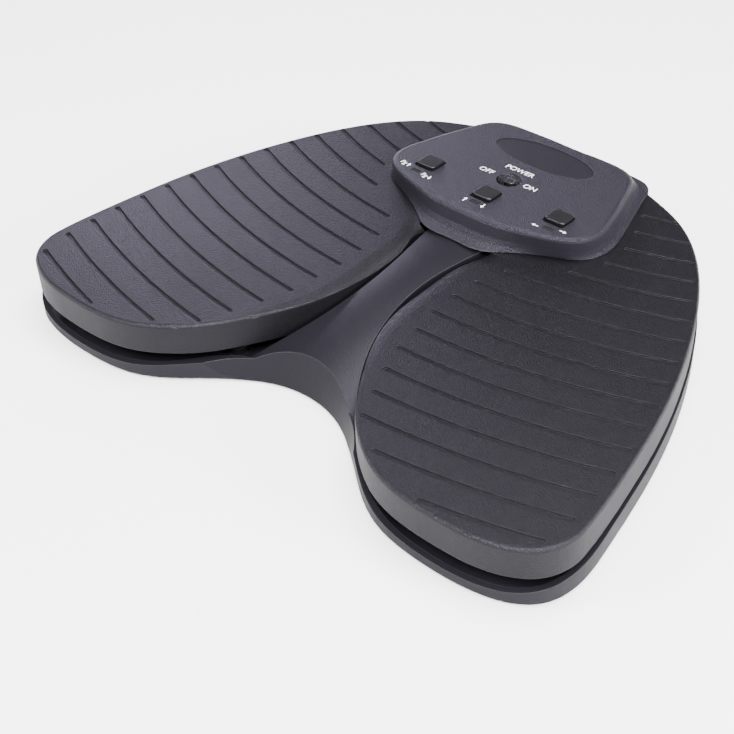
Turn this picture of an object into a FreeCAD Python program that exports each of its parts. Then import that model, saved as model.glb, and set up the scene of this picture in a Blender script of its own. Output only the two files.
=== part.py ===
import FreeCAD, Part
import math
import os

# A foot pedal pair for turning pages: two winged pedals on a low tray, with a control
# console over their hinges.
# All sizes are in millimetres. X points right, Y to the rear, Z up, and the floor is at Z = 0.

V = FreeCAD.Vector
X_AXIS = V(1, 0, 0)
Z_AXIS = V(0, 0, 1)

doc = FreeCAD.newDocument("PageTurnerPedal")

# Driving sizes
sheet = doc.addObject("Spreadsheet::Sheet", "Sizes")
SIZES = [
    ("foot_proud", 1.2, "how far the feet lift the tray"),
    ("tray_floor", 2.4, "thickness of the tray floor"),
    ("tray_wall", 2.4, "thickness of the tray wall"),
    ("rim_high", 15.0, "height of the tray wall before the rim is cut"),
    ("skirt_low", 15.0, "lower edge of the pedal skirt"),
    ("pedal_top", 30.0, "tread surface of the pedals"),
    ("plate", 2.6, "thickness of the pedal plate"),
    ("skirt_wall", 2.4, "thickness of the pedal skirt"),
    ("edge_round", 1.6, "rounding of the tread edge"),
    ("groove_wide", 2.3, "width of a grip groove"),
    ("groove_deep", 0.8, "depth of a grip groove"),
    ("groove_step", 13.71, "spacing of the grip grooves"),
    ("groove_first", 396.5, "radius of the foremost groove"),
    ("roll_wide", 9.6, "width of the rolled inner edge"),
    ("roll_deep", 5.4, "depth of the rolled inner edge"),
    ("hinge_y", 103.0, "hinge axis behind the middle"),
    ("hinge_z", 20.0, "hinge axis above the floor"),
    ("rod_radius", 2.0, "hinge rod"),
    ("bore_radius", 2.05, "running bore on the rod"),
    ("knuckle_radius", 4.4, "outside of the hinge knuckles"),
    ("bridge_crown", 80.0, "radius of the crowned bridge top"),
    ("bridge_arch", 300.0, "radius of the long arc of the bridge top"),
    ("console_slope", 3.633, "slope of the console top in degrees"),
    ("console_peak", 43.7, "console top plane above the floor at the middle"),
    ("console_wall", 2.2, "thickness of the console cover"),
    ("console_gap", 0.4, "gap between the console foot and the pedals"),
    ("console_round", 2.0, "rounding of the console top edge"),
    ("board_thick", 1.6, "thickness of the circuit boards"),
    ("board_drop", 4.2, "main board below the console skin"),
    ("cap_wide", 10.2, "width of a mode button"),
    ("cap_long", 9.8, "length of a mode button"),
    ("cap_proud", 1.3, "how far a mode button stands up"),
    ("lamp_wide", 5.2, "width of a lamp window"),
    ("lamp_long", 2.6, "length of a lamp window"),
    ("dish_radius", 6.1, "power switch dish"),
    ("badge_long", 54.6, "length of the badge recess"),
    ("badge_wide", 22.0, "width of the badge recess"),
    ("badge_deep", 0.8, "depth of the badge recess"),
    ("cell_radius", 7.1, "AA cell"),
    ("cell_length", 50.0, "AA cell"),
    ("spring_radius", 5.2, "middle radius of a return spring"),
    ("spring_wire", 0.6, "radius of the return spring wire"),
    ("foot_radius", 8.0, "rubber foot"),
    ("stop_radius", 4.0, "rubber stop"),
]
for row, (name, value, what) in enumerate(SIZES, start=1):
    sheet.set("A%d" % row, what)
    sheet.set("B%d" % row, str(value))
    sheet.setAlias("B%d" % row, name)
doc.recompute()


def size(name):
    return float(sheet.get(name))


def bind(thing, prop, formula):
    thing.setExpression(prop, formula)


TRAY_LOW = size("foot_proud")
FLOOR_TOP = TRAY_LOW + size("tray_floor")
PLATE_LOW = size("pedal_top") - size("plate")
HINGE_Y = size("hinge_y")
HINGE_Z = size("hinge_z")
SLOPE = size("console_slope")


# Helpers for bodies and sketches
def new_body(name):
    return doc.addObject("PartDesign::Body", name)


def origin_plane(body, role):
    for feature in body.Origin.OriginFeatures:
        if feature.Role == role:
            return feature
    raise ValueError(role)


def new_sketch(body, name, shift=V(0, 0, 0), turn=FreeCAD.Rotation(), role="XY_Plane"):
    sketch = body.newObject("Sketcher::SketchObject", name)
    sketch.AttachmentSupport = [(origin_plane(body, role), "")]
    sketch.MapMode = "FlatFace"
    sketch.AttachmentOffset = FreeCAD.Placement(shift, turn)
    return sketch


def flat(points):
    return [V(p[0], p[1], 0) for p in points]


def through(points):
    # a smooth curve through the points
    curve = Part.BSplineCurve()
    curve.approximate(Points=flat(points), Tolerance=0.1)
    return curve


def ring_through(points):
    # the same as a closed curve
    curve = Part.BSplineCurve()
    curve.interpolate(Points=flat(points), PeriodicFlag=True)
    return curve


def arc_from(start, along, end):
    # an arc that leaves the start in a given direction
    chord = end - start
    half = chord.Length / 2
    side = V(-chord.y, chord.x, 0) / chord.Length
    bend = math.atan2(side.dot(along), chord.dot(along) / chord.Length)
    if abs(bend) < 1e-5:
        return Part.LineSegment(start, end)
    return Part.Arc(start, (start + end) / 2 + side * half * math.tan(bend / 2), end)


def smooth_arcs(curve, spots):
    # tangent arcs, two to a span, that follow a smooth curve from spot to spot
    if isinstance(spots, int):
        spots = curve.toShape().discretize(Number=spots + 1)
    ends = []
    for spot in spots:
        ends.append((spot, curve.tangent(curve.parameter(spot))[0]))
    arcs = []
    for (start, leave), (end, arrive) in zip(ends, ends[1:]):
        reach = end - start
        both = reach.dot(leave + arrive)
        turn = 1 - leave.dot(arrive)
        if turn < 1e-9:
            step = reach.dot(reach) / (2 * both)
        else:
            step = (math.sqrt(both ** 2 + 2 * turn * reach.dot(reach)) - both) / (2 * turn)
        first = start + leave * step
        second = end - arrive * step
        middle = (first + second) / 2
        arcs.append(arc_from(start, leave, middle))
        arcs.append(arc_from(middle, (second - first).normalize(), end))
    return arcs


def line(a, b):
    return Part.LineSegment(V(a[0], a[1], 0), V(b[0], b[1], 0))


def closed_lines(points):
    ends = points[1:] + points[:1]
    return [line(a, b) for a, b in zip(points, ends)]


def circle(x, y, radius):
    return Part.Circle(V(x, y, 0), Z_AXIS, radius)


def box_lines(x0, y0, x1, y1):
    return closed_lines([(x0, y0), (x1, y0), (x1, y1), (x0, y1)])


def round_box(x, y, wide, long, radius):
    # a rectangle about its centre with rounded corners
    a = wide / 2.0 - radius
    b = long / 2.0 - radius
    parts = [line((x - a, y - b - radius), (x + a, y - b - radius)),
             line((x + a + radius, y - b), (x + a + radius, y + b)),
             line((x + a, y + b + radius), (x - a, y + b + radius)),
             line((x - a - radius, y + b), (x - a - radius, y - b))]
    for cx, cy, start in ((x + a, y - b, 270), (x + a, y + b, 0), (x - a, y + b, 90), (x - a, y - b, 180)):
        ring = circle(cx, cy, radius)
        parts.append(Part.ArcOfCircle(ring, math.radians(start), math.radians(start + 90)))
    return parts


def pad(body, sketch, length, name, reverse=False):
    before = body.Shape.Volume if body.Tip else 0.0
    feature = body.newObject("PartDesign::Pad", name)
    feature.Profile = sketch
    if isinstance(length, str):
        bind(feature, "Length", length)
    else:
        feature.Length = length
    feature.Reversed = reverse
    doc.recompute()
    if body.Shape.Volume < before + 0.01:
        raise ValueError("pad %s adds nothing" % name)
    return feature


def pocket(body, sketch, length, name, reverse=False, through_all=False):
    before = body.Shape.Volume
    feature = body.newObject("PartDesign::Pocket", name)
    feature.Profile = sketch
    if through_all:
        feature.Type = "ThroughAll"
        feature.Midplane = True
    elif isinstance(length, str):
        bind(feature, "Length", length)
    else:
        feature.Length = length
    feature.Reversed = reverse
    doc.recompute()
    if abs(body.Shape.Volume - before) < 0.01:
        raise ValueError("pocket %s cuts nothing" % name)
    return feature


def add_all(sketch, curves):
    for curve in curves:
        sketch.addGeometry(curve, False)
    return sketch


def mirrored(points):
    return [(-x, y) for x, y in reversed(points)]


def sided(side, points):
    return [(side * x, y) for x, y in points]


def inset(points, distance):
    # the same curve moved sideways, to the left of its direction for a positive distance
    curve = through(points)
    moved = []
    for x, y in points:
        where = curve.parameter(V(x, y, 0))
        along = curve.tangent(where)[0]
        moved.append((x - along.y * distance, y + along.x * distance))
    return moved


def rounded(body, low, high, radius, name, kind="Fillet"):
    # rounds or bevels the edges between two heights, as far as they are not straight
    names = []
    for number, edge in enumerate(body.Shape.Edges, start=1):
        box = edge.BoundBox
        curved = edge.Curve.TypeId != "Part::GeomLine"
        if curved and box.ZMin >= low and box.ZMax <= high:
            names.append("Edge%d" % number)
    last = body.Tip
    feature = body.newObject("PartDesign::" + kind, name)
    feature.Base = (last, names)
    if isinstance(radius, str):
        bind(feature, "Radius", radius)
    elif kind == "Fillet":
        feature.Radius = radius
    else:
        feature.Size = radius
    doc.recompute()
    if not feature.isValid():
        raise ValueError("rounding %s fails" % name)
    return feature


# Pedals
WING = [(16.5, 24), (15.3, 14), (12.9, 1), (12.9, -14), (14.0, -32), (16.8, -44.4), (20.8, -55.3),
        (27.0, -67.4), (33.8, -78.6), (41.5, -89.4), (50.6, -98.6), (61.6, -106.5), (74.6, -112.2),
        (89.6, -114.6), (105, -114.9), (120.4, -113.4), (133, -109.4), (141.4, -103.4), (146.2, -95.4),
        (147.7, -85), (145.8, -66.5), (141.4, -40), (135.2, -11.9), (126, 17.5), (113.4, 46.9),
        (97.5, 73.8), (83, 90), (66.5, 101.4), (52, 107.6)]
REAR_EDGE = 107.6
STRIP_EDGE = 20.0
ROLL_START = [(25.5, 26), (22.4, 12), (20.8, -4), (20.6, -24), (20.9, -36), (23.0, -46), (27.6, -60),
              (35.5, -78), (43, -91), (46, -103)]
GROOVE_CENTRE = (15.6, 277.2)
GROOVE_INNER = [93, 63, 46.8, 41.2, 35.7, 30.8, 29.1, 27, 27.4, 28.7, 34.3, 56.5, 65.3, 66.0, 62.5, 57.8]
GROOVE_OUTER = [139.4, 141.4, 141.2, 139.6, 137.5, 135, 132.2, 128.7, 124.7, 120.1, 114.9, 109.1,
                102.3, 94.6, 85.6, 74.3]
STOPS = [(45, -72), (122, -74)]
STOP_BOSS_LOW = 15.5
MAGNET_AT = (88, -95)
SPRING_AT = (75, -20)
KNUCKLES = [21.0, 39.0]


def groove(side, radius, x0, x1, half):
    # one grip groove with round ends
    cx = side * GROOVE_CENTRE[0]
    cy = GROOVE_CENTRE[1]
    angles = []
    for x in (side * x0, side * x1):
        y = cy - math.sqrt(radius ** 2 - (x - cx) ** 2)
        angles.append(math.atan2(y - cy, x - cx))
    a0, a1 = sorted(angles)
    curves = [Part.ArcOfCircle(circle(cx, cy, radius + half), a0, a1),
              Part.ArcOfCircle(circle(cx, cy, radius - half), a0, a1)]
    end0 = circle(cx + radius * math.cos(a0), cy + radius * math.sin(a0), half)
    end1 = circle(cx + radius * math.cos(a1), cy + radius * math.sin(a1), half)
    curves.append(Part.ArcOfCircle(end0, a0 + math.pi, a0 + 2 * math.pi))
    curves.append(Part.ArcOfCircle(end1, a1, a1 + math.pi))
    return curves


def pedal(name, side):
    body = new_body(name)
    wing = sided(side, WING)
    first, last = wing[0], wing[-1]
    outline = new_sketch(body, name + "_outline", V(0, 0, size("skirt_low")))
    bind(outline, "AttachmentOffset.Base.z", "Sizes.skirt_low")
    rear = (side * STRIP_EDGE, REAR_EDGE)
    step = (side * STRIP_EDGE, first[1])
    add_all(outline, smooth_arcs(through(wing), 18) + [line(last, rear), line(rear, step), line(step, first)])
    pad(body, outline, "Sizes.pedal_top - Sizes.skirt_low", name + "_block")
    tread = size("pedal_top")
    rounded(body, tread - 0.01, tread + 0.01, "Sizes.edge_round", name + "_tread_edge")

    inner_roll(body, name, side)

    # hollow below the plate, open under the console
    inner = inset(wing, side * size("skirt_wall"))
    hollow = new_sketch(body, name + "_hollow_outline", V(0, 0, size("skirt_low")))
    far = [(inner[-1][0], 112), (side * 8, 112), (side * 8, inner[0][1])]
    edges = smooth_arcs(through(inner), 18)
    edges += [line(inner[-1], far[0]), line(far[0], far[1]), line(far[1], far[2]), line(far[2], inner[0])]
    add_all(hollow, edges)
    pocket(body, hollow, "Sizes.pedal_top - Sizes.skirt_low - Sizes.plate", name + "_hollow", reverse=True)

    # ribs, stop bosses, spring cup and magnet boss below the plate
    ribs = new_sketch(body, name + "_rib_lines", V(0, 0, PLATE_LOW - 6))
    for x, y0, y1 in ((58, -96, 84), (96, -104, 56)):
        add_all(ribs, box_lines(side * x - 0.9, y0, side * x + 0.9, y1))
    pad(body, ribs, 6.2, name + "_long_ribs")
    cross = new_sketch(body, name + "_cross_lines", V(0, 0, PLATE_LOW - 4))
    for y, x0, x1 in ((-50, 24, 140), (12, 20, 124), (52, 30, 106)):
        xs = sorted((side * x0, side * x1))
        add_all(cross, box_lines(xs[0], y - 0.9, xs[1], y + 0.9))
    pad(body, cross, 4.2, name + "_cross_ribs")
    bosses = new_sketch(body, name + "_stop_boss_circles", V(0, 0, STOP_BOSS_LOW))
    for x, y in STOPS:
        bosses.addGeometry(circle(side * x, y, 3.6), False)
    bosses.addGeometry(circle(side * MAGNET_AT[0], MAGNET_AT[1], 5.0), False)
    pad(body, bosses, PLATE_LOW - STOP_BOSS_LOW + 0.2, name + "_bosses")
    seat = new_sketch(body, name + "_magnet_seat", V(0, 0, STOP_BOSS_LOW))
    seat.addGeometry(circle(side * MAGNET_AT[0], MAGNET_AT[1], 3.0), False)
    pocket(body, seat, 3.2, name + "_magnet_bore", reverse=True)
    cup = new_sketch(body, name + "_spring_cup_rings", V(0, 0, PLATE_LOW - 3.5))
    cup.addGeometry(circle(side * SPRING_AT[0], SPRING_AT[1], 8.0), False)
    cup.addGeometry(circle(side * SPRING_AT[0], SPRING_AT[1], 6.4), False)
    pad(body, cup, 3.7, name + "_spring_cup")

    # hinge knuckles
    for number, x in enumerate(KNUCKLES):
        start = x if side > 0 else -x - 4.0
        lug = new_sketch(body, "%s_knuckle_outline_%d" % (name, number), V(0, 0, start), role="YZ_Plane")
        radius = size("knuckle_radius")
        top = PLATE_LOW + 0.2
        ring = circle(HINGE_Y, HINGE_Z, radius)
        lug.addGeometry(Part.ArcOfCircle(ring, math.pi, 2 * math.pi), False)
        add_all(lug, [line((HINGE_Y - radius, HINGE_Z), (HINGE_Y - radius, top)),
                      line((HINGE_Y - radius, top), (HINGE_Y + radius, top)),
                      line((HINGE_Y + radius, top), (HINGE_Y + radius, HINGE_Z))])
        lug.addGeometry(circle(HINGE_Y, HINGE_Z, size("bore_radius")), False)
        pad(body, lug, 4.0, "%s_knuckle_%d" % (name, number))

    # grip grooves
    grooves = new_sketch(body, name + "_grip_lines", V(0, 0, size("pedal_top")))
    for number in range(len(GROOVE_INNER)):
        radius = size("groove_first") - number * size("groove_step")
        half = size("groove_wide") / 2
        add_all(grooves, groove(side, radius, GROOVE_INNER[number], GROOVE_OUTER[number], half))
    pocket(body, grooves, "Sizes.groove_deep", name + "_grip_grooves")
    return body


def inner_roll(body, name, side):
    # the edge beside the bridge rolls down in a wide quarter ellipse
    wide = size("roll_wide")
    deep = size("roll_deep")
    top = size("pedal_top")
    path = new_sketch(body, name + "_roll_path", V(0, 0, top))
    path.addGeometry(through(sided(side, ROLL_START)), False)
    x0, y0 = side * ROLL_START[0][0], ROLL_START[0][1]
    profile = new_sketch(body, name + "_roll_profile", V(0, 0, -y0), role="XZ_Plane")
    ends = [(x0, top), (x0 - side * wide, top - deep)]
    corner = math.radians(45)
    middle = (x0 - side * wide * math.cos(corner), top - deep + deep * math.sin(corner))
    third = (x0 - side * wide * math.sin(math.radians(22)), top - deep + deep * math.cos(math.radians(22)))
    fourth = (x0 - side * wide * math.sin(math.radians(68)), top - deep + deep * math.cos(math.radians(68)))
    arc = through([ends[0], third, middle, fourth, ends[1]])
    over = top + 2
    add_all(profile, [arc, line(ends[1], (ends[1][0], over)), line((ends[1][0], over), (x0, over)),
                      line((x0, over), ends[0])])
    doc.recompute()
    before = body.Shape.Volume
    roll = body.newObject("PartDesign::SubtractivePipe", name + "_rolled_edge")
    roll.Profile = profile
    roll.Spine = (path, ["Edge1"])
    body.Tip = roll
    doc.recompute()
    if body.Shape.Volume > before - 1:
        raise ValueError("the rolled edge of %s cuts nothing" % name)


# Base tray
OUTLINE = [(0, -77.5), (15, -78.5), (25, -81.9), (31, -84.9), (40, -91.2), (50.3, -99.5), (61.3, -107.2),
           (74.4, -112.9), (89.5, -115.3), (105, -115.6), (120.6, -114.1), (133.4, -110.1), (142.0, -104.0),
           (146.9, -95.8), (148.4, -85), (146.5, -66.3), (142.1, -39.8), (135.9, -11.6), (126.7, 17.8),
           (114.1, 47.3), (98.1, 74.3), (83.5, 90.6), (66.8, 102.3), (54, 109.0), (42, 113.7), (30, 115.3),
           (15, 115.6), (0, 115.6)]
RIM_CURVE = [(-130, 3.0), (-115.6, 6.0), (-107, 8.2), (-93, 10.4), (-65, 11.6), (-37, 12.3), (0, 12.9),
             (50, 13.7), (97, 14.3), (130, 14.5)]
CONSOLE_POSTS = [(10, 37.5), (7.5, 88)]
INLET_POSTS = [(7.5, 97.5)]
BRACKETS = [15.5, 44.6]
BRACKET_WIDE = 3.6
BAY = (-28.4, 47.5, 28.4, 78.5)
DOOR = (-30.0, 45.6, 30.0, 80.4)
DOOR_TABS = [-20.0, 8.0]
DOOR_GAP = 0.4
DOOR_TRAVEL = 7.5
FEET_AT = [(124, -88), (-124, -88), (72, 78), (-72, 78), (58, -84), (-58, -84)]
INLET_BOARD_LOW = 24.6
STOP_SEAT_TOP = 7.4
SENSOR_BOARD_LOW = 7.6
SCREW_HEAD_TOP = 14.0
POST_TOP = 26.0
NOTCH_RADIUS = 50.75
NOTCH_MIDDLE = -124.95
NOTCH_LEAN = 17.0
SIDES = (1, -1)


def both_halves(points):
    # a half outline and its mirror image as one closed list, which starts at the rear
    left = [(-x, y) for x, y in points[1:-1]]
    return list(reversed(points)) + left


def ring_inset(points, distance, notch_extra=0.0):
    # a closed list of points moved sideways, further where the leaning notch wall stands
    curve = ring_through(points)
    moved = []
    for x, y in points:
        along = curve.tangent(curve.parameter(V(x, y, 0)))[0]
        shift = distance
        if abs(x) < 41 and -93 < y < -70:
            shift -= notch_extra
        moved.append((x - along.y * shift, y + along.x * shift))
    return moved


def tray_walls():
    body = new_body("tray_walls")
    full = both_halves(OUTLINE)
    outline = new_sketch(body, "tray_outline", V(0, 0, TRAY_LOW))
    bind(outline, "AttachmentOffset.Base.z", "Sizes.foot_proud")
    add_all(outline, smooth_arcs(ring_through(full), 36))
    pad(body, outline, "Sizes.rim_high - Sizes.foot_proud", "tray_block")
    rounded(body, TRAY_LOW - 0.01, TRAY_LOW + 0.01, 1.0, "tray_lower_edge")
    notch_cut(body, "tray_notch_lean", 0)

    hollow = new_sketch(body, "tray_inside", V(0, 0, size("rim_high")))
    add_all(hollow, smooth_arcs(ring_through(ring_inset(full, -size("tray_wall"), 2.2)), 36))
    pocket(body, hollow, "Sizes.rim_high - Sizes.foot_proud - Sizes.tray_floor", "tray_hollow")

    rim = new_sketch(body, "rim_profile", V(0, 0, 0), role="YZ_Plane")
    first, last = RIM_CURVE[0], RIM_CURVE[-1]
    add_all(rim, [through(RIM_CURVE), line(last, (last[0], 40)), line((last[0], 40), (first[0], 40)),
                  line((first[0], 40), first)])
    pocket(body, rim, 0, "rim_cut", through_all=True)
    tray_fittings(body)
    return body


def notch_cut(body, name, wall):
    # the wall between the wings leans back like the inside of a cone
    before = body.Shape.Volume
    cone = body.newObject("PartDesign::SubtractiveCone", name)
    spread = math.tan(math.radians(NOTCH_LEAN))
    cone.Radius1 = NOTCH_RADIUS + wall - TRAY_LOW * spread
    cone.Radius2 = cone.Radius1.Value + 36 * spread
    cone.Height = 36
    cone.AttachmentSupport = [(origin_plane(body, "XY_Plane"), "")]
    cone.MapMode = "FlatFace"
    cone.AttachmentOffset = FreeCAD.Placement(V(0, NOTCH_MIDDLE, 0), FreeCAD.Rotation())
    doc.recompute()
    if body.Shape.Volume > before - 0.1:
        raise ValueError("%s cuts nothing" % name)


def tray_fittings(body):
    # cell bay, hinge brackets, posts and seats, all standing on the floor
    low = FLOOR_TOP - 0.6
    slab = new_sketch(body, "bay_slab_outline", V(0, 0, low))
    add_all(slab, box_lines(-33.5, 41.5, 42.5, 84.5))
    pad(body, slab, 2.6, "bay_slab")
    box = new_sketch(body, "bay_outline", V(0, 0, low))
    add_all(box, box_lines(BAY[0] - 2, BAY[1] - 2, BAY[2] + 2, BAY[3] + 2))
    pad(body, box, 17.6, "bay_box")
    for side in SIDES:
        for number, x in enumerate(BRACKETS):
            start = x if side > 0 else -x - BRACKET_WIDE
            name = "bracket_%d_%s" % (number, "right" if side > 0 else "left")
            fin = new_sketch(body, name + "_outline", V(0, 0, start), role="YZ_Plane")
            radius = size("knuckle_radius") - 0.2
            fin.addGeometry(Part.ArcOfCircle(circle(HINGE_Y, HINGE_Z, radius), 0, math.pi), False)
            add_all(fin, [line((HINGE_Y - radius, HINGE_Z), (HINGE_Y - 12, low)),
                          line((HINGE_Y - 12, low), (HINGE_Y + radius, low)),
                          line((HINGE_Y + radius, low), (HINGE_Y + radius, HINGE_Z))])
            fin.addGeometry(circle(HINGE_Y, HINGE_Z, size("rod_radius") + 0.01), False)
            pad(body, fin, BRACKET_WIDE, name)

    posts = new_sketch(body, "post_circles", V(0, 0, low))
    for side in SIDES:
        for x, y in CONSOLE_POSTS:
            posts.addGeometry(circle(side * x, y, 3.6), False)
    pad(body, posts, 22.4 + 0.6, "console_posts")
    small = new_sketch(body, "inlet_post_circles", V(0, 0, low))
    for side in SIDES:
        for x, y in INLET_POSTS:
            small.addGeometry(circle(side * x, y, 2.4), False)
    pad(body, small, INLET_BOARD_LOW - low, "inlet_posts")
    seats = new_sketch(body, "seat_circles", V(0, 0, low))
    for side in SIDES:
        for x, y in STOPS:
            seats.addGeometry(circle(side * x, y, 5.2), False)
    pad(body, seats, STOP_SEAT_TOP - low, "stop_seats")
    guides = new_sketch(body, "guide_circles", V(0, 0, low))
    for side in SIDES:
        guides.addGeometry(circle(side * SPRING_AT[0], SPRING_AT[1], 4.1), False)
        for dx in (-8.5, 8.5):
            guides.addGeometry(circle(side * MAGNET_AT[0] + dx, MAGNET_AT[1], 2.0), False)
    pad(body, guides, SENSOR_BOARD_LOW - low, "spring_guides_and_sensor_posts")
    stiff = new_sketch(body, "floor_rib_lines", V(0, 0, low))
    for side in SIDES:
        for x, y0, y1 in ((58, -72, 78), (108, -92, 28)):
            add_all(stiff, box_lines(side * x - 0.9, y0, side * x + 0.9, y1))
    pad(body, stiff, 3.0, "floor_ribs")

    # door recess with its lips, the bay behind it, and the holes for feet and screws
    x0, y0, x1, y1 = DOOR
    left_end = x0 - DOOR_GAP
    right_end = x1 + DOOR_TRAVEL + 1.5
    lower = [(left_end, y0 - 2)]
    for x in DOOR_TABS:
        lower += [(x - 0.4, y0 - 2), (x - 0.4, y0 - 0.4), (x + 5, y0 - 0.4), (x + 5, y0 - 2)]
    lower.append((right_end, y0 - 2))
    middle = y0 + y1
    lower += [(x, middle - y) for x, y in reversed(lower)]
    seat = new_sketch(body, "door_recess_outline", V(0, 0, TRAY_LOW))
    add_all(seat, closed_lines(lower))
    pocket(body, seat, 0.6, "door_recess", reverse=True)
    track = new_sketch(body, "door_track_outline", V(0, 0, TRAY_LOW + 0.6))
    add_all(track, box_lines(left_end, y0 - 2, right_end, y1 + 2))
    pocket(body, track, 1.3, "door_track", reverse=True)
    bay = new_sketch(body, "bay_inside", V(0, 0, TRAY_LOW))
    add_all(bay, box_lines(*BAY))
    pocket(body, bay, 17.4, "cell_bay", reverse=True)
    feet = new_sketch(body, "foot_circles", V(0, 0, TRAY_LOW))
    for x, y in FEET_AT:
        feet.addGeometry(circle(x, y, size("foot_radius") + 0.3), False)
    pocket(body, feet, 1.0, "foot_recesses", reverse=True)
    heads = new_sketch(body, "screw_head_circles", V(0, 0, TRAY_LOW))
    holes = new_sketch(body, "screw_hole_circles", V(0, 0, TRAY_LOW))
    for side in SIDES:
        for x, y in CONSOLE_POSTS:
            heads.addGeometry(circle(side * x, y, 2.9), False)
            holes.addGeometry(circle(side * x, y, 1.6), False)
    pocket(body, heads, SCREW_HEAD_TOP - TRAY_LOW, "screw_head_bores", reverse=True)
    pocket(body, holes, 40, "screw_holes", reverse=True)


# Bridge between the pedals, with the notch wall in front
BRIDGE_SIDE = [(15.4, 33), (14.0, 20), (12.5, 10), (10.9, 0), (10.1, -14), (10.8, -30), (13.1, -42.5),
               (17.0, -55), (23.2, -67.4), (29.8, -77.8), (35.4, -85.6)]
BRIDGE_HIGH = 30.0
BRIDGE_PEAK = (10.0, 29.7)


def bridge_form(name, wall, low, high):
    # a tall plan shape, crowned on top and cut by the notch wall in front
    body = new_body(name)
    right = inset(BRIDGE_SIDE, -wall) if wall else BRIDGE_SIDE
    right = [(right[0][0], BRIDGE_SIDE[0][1] - wall)] + right[1:]
    end = (38 - wall, -104)
    left = mirrored(right)
    plan = new_sketch(body, name + "_plan", V(0, 0, low))
    add_all(plan, [through(right), line(right[-1], end), line(end, (-end[0], end[1])),
                   line((-end[0], end[1]), left[0]), through(left), line(left[-1], right[0])])
    pad(body, plan, high - low, name + "_block")
    # the top is crowned across and falls in a long arc to the front
    radius = size("bridge_crown") - wall
    arch = size("bridge_arch")
    half = math.radians(34)
    middle = arch - size("bridge_crown")
    far_axis = V(0, BRIDGE_PEAK[1] - arch, -BRIDGE_PEAK[0])
    crown = new_sketch(body, name + "_crown_profile", far_axis, role="XZ_Plane")
    arc = Part.ArcOfCircle(circle(0, middle, radius), math.pi / 2 - half, math.pi / 2 + half)
    x = radius * math.sin(half)
    y = middle + radius * math.cos(half)
    add_all(crown, [arc, line((x, y), (x, arch + 20)), line((x, arch + 20), (-x, arch + 20)),
                    line((-x, arch + 20), (-x, y))])
    top = body.newObject("PartDesign::Groove", name + "_crown")
    top.Profile = crown
    top.ReferenceAxis = (crown, ["H_Axis"])
    top.Angle = 54
    top.Midplane = True
    doc.recompute()
    notch_cut(body, name + "_notch_lean", wall)
    return body


def base_tray():
    walls = tray_walls()
    outside = bridge_form("bridge_outside", 0.0, FLOOR_TOP - 0.6, BRIDGE_HIGH)
    inside = bridge_form("bridge_inside", size("tray_wall"), FLOOR_TOP, BRIDGE_HIGH - size("tray_wall"))
    both = doc.addObject("Part::Fuse", "tray_with_bridge")
    both.Base = walls
    both.Tool = outside
    tray = doc.addObject("Part::Cut", "base_tray")
    tray.Base = both
    tray.Tool = inside
    doc.recompute()
    return tray


# Console over the hinges
CONSOLE_TOP = [(0, 31.4), (6, 31.5), (13, 31.6), (20, 32.0), (26, 33.2), (32.5, 34.9), (43.4, 38.2),
               (49.5, 41.4), (53.6, 45.1), (56.4, 49.8), (57.2, 55), (56, 63), (53.6, 72.7),
               (50, 85.7), (46.5, 95), (44.2, 101.5), (39.5, 107.5), (33, 110.8), (26, 111.6),
               (13, 111.6), (0, 111.6)]
CONSOLE_FOOT = [(0, 22), (8, 22.1), (15.6, 22.7), (20.8, 25.4), (26.2, 29.3), (33.4, 33.8),
                (43.2, 38.6), (50.5, 41.9), (55.4, 45.2), (59.2, 50.4), (60.9, 56.6), (60.8, 65),
                (58.6, 75), (55.3, 87.6), (52.2, 97.5), (50.4, 104), (47.6, 110.8), (41, 113.9),
                (34, 114.9), (16, 114.9), (0, 114.9)]
MODE_BUTTONS = [("left", -37.1, 53.6), ("centre", 0.0, 48.7), ("right", 37.1, 53.6)]
LAMPS = [(-38.1, 43.7), (0.0, 39.9), (38.1, 43.7)]
POWER_AT = (0.0, 65.7)
BADGE_AT = (0.0, 93.7)
REAR_LOW = 14.8
DISH_BALL = 7.6
WALL_SWEEP = [(0.07, 0.26), (0.2, 0.5), (0.45, 0.7)]
EDGE_SHARE = 0.13
INSIDE_SHARE = 0.45
BOARD_POSTS = [(24, 47), (24, 64)]
REAR_INSIDE = [(-70, 10), (70, 10), (70, 108.6), (46.4, 108.6), (44.0, 110.0), (40.2, 111.4), (33.5, 112.4),
               (-33.5, 112.4), (-40.2, 111.4), (-44.0, 110.0), (-46.4, 108.6), (-70, 108.6)]
INLET_WIDE = 7.7
INLET_HIGH = 3.9
INLET_LOW = INLET_BOARD_LOW + size("board_thick")
BOARD_TOP = -size("console_wall") - size("board_drop")
BOARD_LOW = BOARD_TOP - size("board_thick")


def tilted(w):
    # a plane parallel to the console top, w above it
    lean = math.radians(SLOPE)
    peak = size("console_peak")
    middle = V(0, w * math.sin(lean), peak + w * math.cos(lean))
    return FreeCAD.Placement(middle, FreeCAD.Rotation(X_AXIS, -SLOPE))


def tilted_sketch(body, name, w, curves):
    sketch = new_sketch(body, name)
    sketch.AttachmentOffset = tilted(w)
    return add_all(sketch, curves)


def console_ring(points, distance):
    # a closed chain of arcs, a given distance inside the outline
    full = both_halves(points)
    if distance:
        full = ring_inset(full, -distance)
    spots = flat(full[::2])
    return smooth_arcs(ring_through(full), spots + spots[:1])


def between(share):
    # outline a part of the way from the foot to the top
    pairs = zip(CONSOLE_FOOT, CONSOLE_TOP)
    return [(a[0] + (b[0] - a[0]) * share, a[1] + (b[1] - a[1]) * share) for a, b in pairs]


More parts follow.
